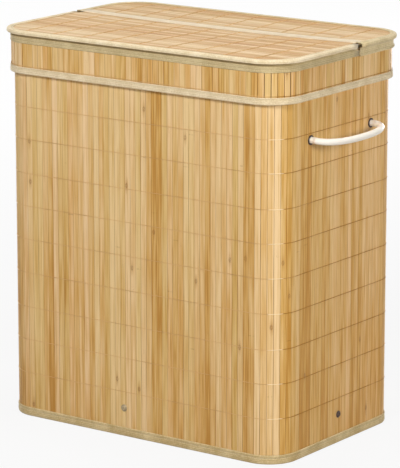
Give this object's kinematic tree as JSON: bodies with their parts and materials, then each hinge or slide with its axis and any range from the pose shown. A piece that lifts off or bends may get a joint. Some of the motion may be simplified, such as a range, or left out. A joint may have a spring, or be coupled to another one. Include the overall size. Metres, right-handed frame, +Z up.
{
  "type": "laundry hamper with two bins",
  "caption": "Tall rounded bamboo-slat laundry hamper with a slip-over lid, a fold-up front flap, side handles and cloth bags.",
  "frame": {"origin": "on the floor, under the middle of the basket", "axes": "+X right along the long side, +Y back (the fixed part of the lid), +Z up"},
  "size_m": [0.6104, 0.354, 0.6174],
  "materials": {
    "bamboo": "split bamboo slats, clear lacquer, satin",
    "lining_cloth": "thin woven backing, matt",
    "edge_tape": "herringbone cotton tape, matt",
    "fibreboard": "plain fibreboard, matt",
    "bag_cloth": "plain woven polycotton, matt",
    "steel": "zinc-plated steel, satin",
    "dark_metal": "burnished dark bronze, satin",
    "white_tube": "smooth soft white tube, satin",
    "cotton_cord": "twisted cotton cord, matt",
    "hook_tape": "hook-and-loop tape, matt",
    "turned_wood": "turned hardwood dowel, bare"
  },
  "bodies": {
    "basket": {"wall_slats": "bamboo", "wall_backing": "lining_cloth", "base_tape": "edge_tape", "rim_tape": "edge_tape", "rim_wire": "steel", "base_board": "fibreboard", "base_screw_front": "steel", "base_screw_right": "steel", "base_screw_rear": "steel", "base_screw_left": "steel", "screw_washer_front": "dark_metal", "screw_washer_right": "dark_metal", "screw_washer_rear": "dark_metal", "screw_washer_left": "dark_metal", "divider_bar": "turned_wood", "bar_cup_front": "dark_metal", "bar_cup_rear": "dark_metal", "hook_tape_left": "hook_tape", "hook_tape_right": "hook_tape", "liner_bag_left": "bag_cloth", "liner_bag_right": "bag_cloth", "eyelet_right_front": "dark_metal", "eyelet_right_rear": "dark_metal", "eyelet_left_front": "dark_metal", "eyelet_left_rear": "dark_metal", "handle_knot_right_front": "cotton_cord", "handle_knot_right_rear": "cotton_cord", "handle_knot_left_front": "cotton_cord", "handle_knot_left_rear": "cotton_cord"},
    "lid": {"skirt_slats": "bamboo", "skirt_backing": "lining_cloth", "skirt_lower_tape": "edge_tape", "skirt_top_tape": "edge_tape", "lid_hoop": "steel", "rear_board": "fibreboard", "rear_slats": "bamboo", "rear_edge_tape": "edge_tape", "hinge_tape": "edge_tape"},
    "flap": {"flap_board": "fibreboard", "flap_slats": "bamboo", "flap_edge_tape": "edge_tape"},
    "right_handle": {"handle_right": "white_tube"},
    "left_handle": {"handle_left": "white_tube"}
  },
  "joints": [
    {"name": "lid_lift", "type": "slide", "parent": "basket", "child": "lid", "axis": [0, 0, 1], "range_m": [0, 0.12]},
    {"name": "flap_fold", "type": "hinge", "parent": "lid", "child": "flap", "pos_m": [0, 0.035, 0.6175], "axis": [-1, 0, 0], "range_deg": [0, 175]},
    {"name": "right_handle_swing", "type": "hinge", "parent": "basket", "child": "right_handle", "pos_m": [0.2675, 0, 0.487], "axis": [0, -1, 0], "range_deg": [-70, 82]},
    {"name": "left_handle_swing", "type": "hinge", "parent": "basket", "child": "left_handle", "pos_m": [-0.2675, 0, 0.487], "axis": [0, 1, 0], "range_deg": [-70, 82]}
  ]
}
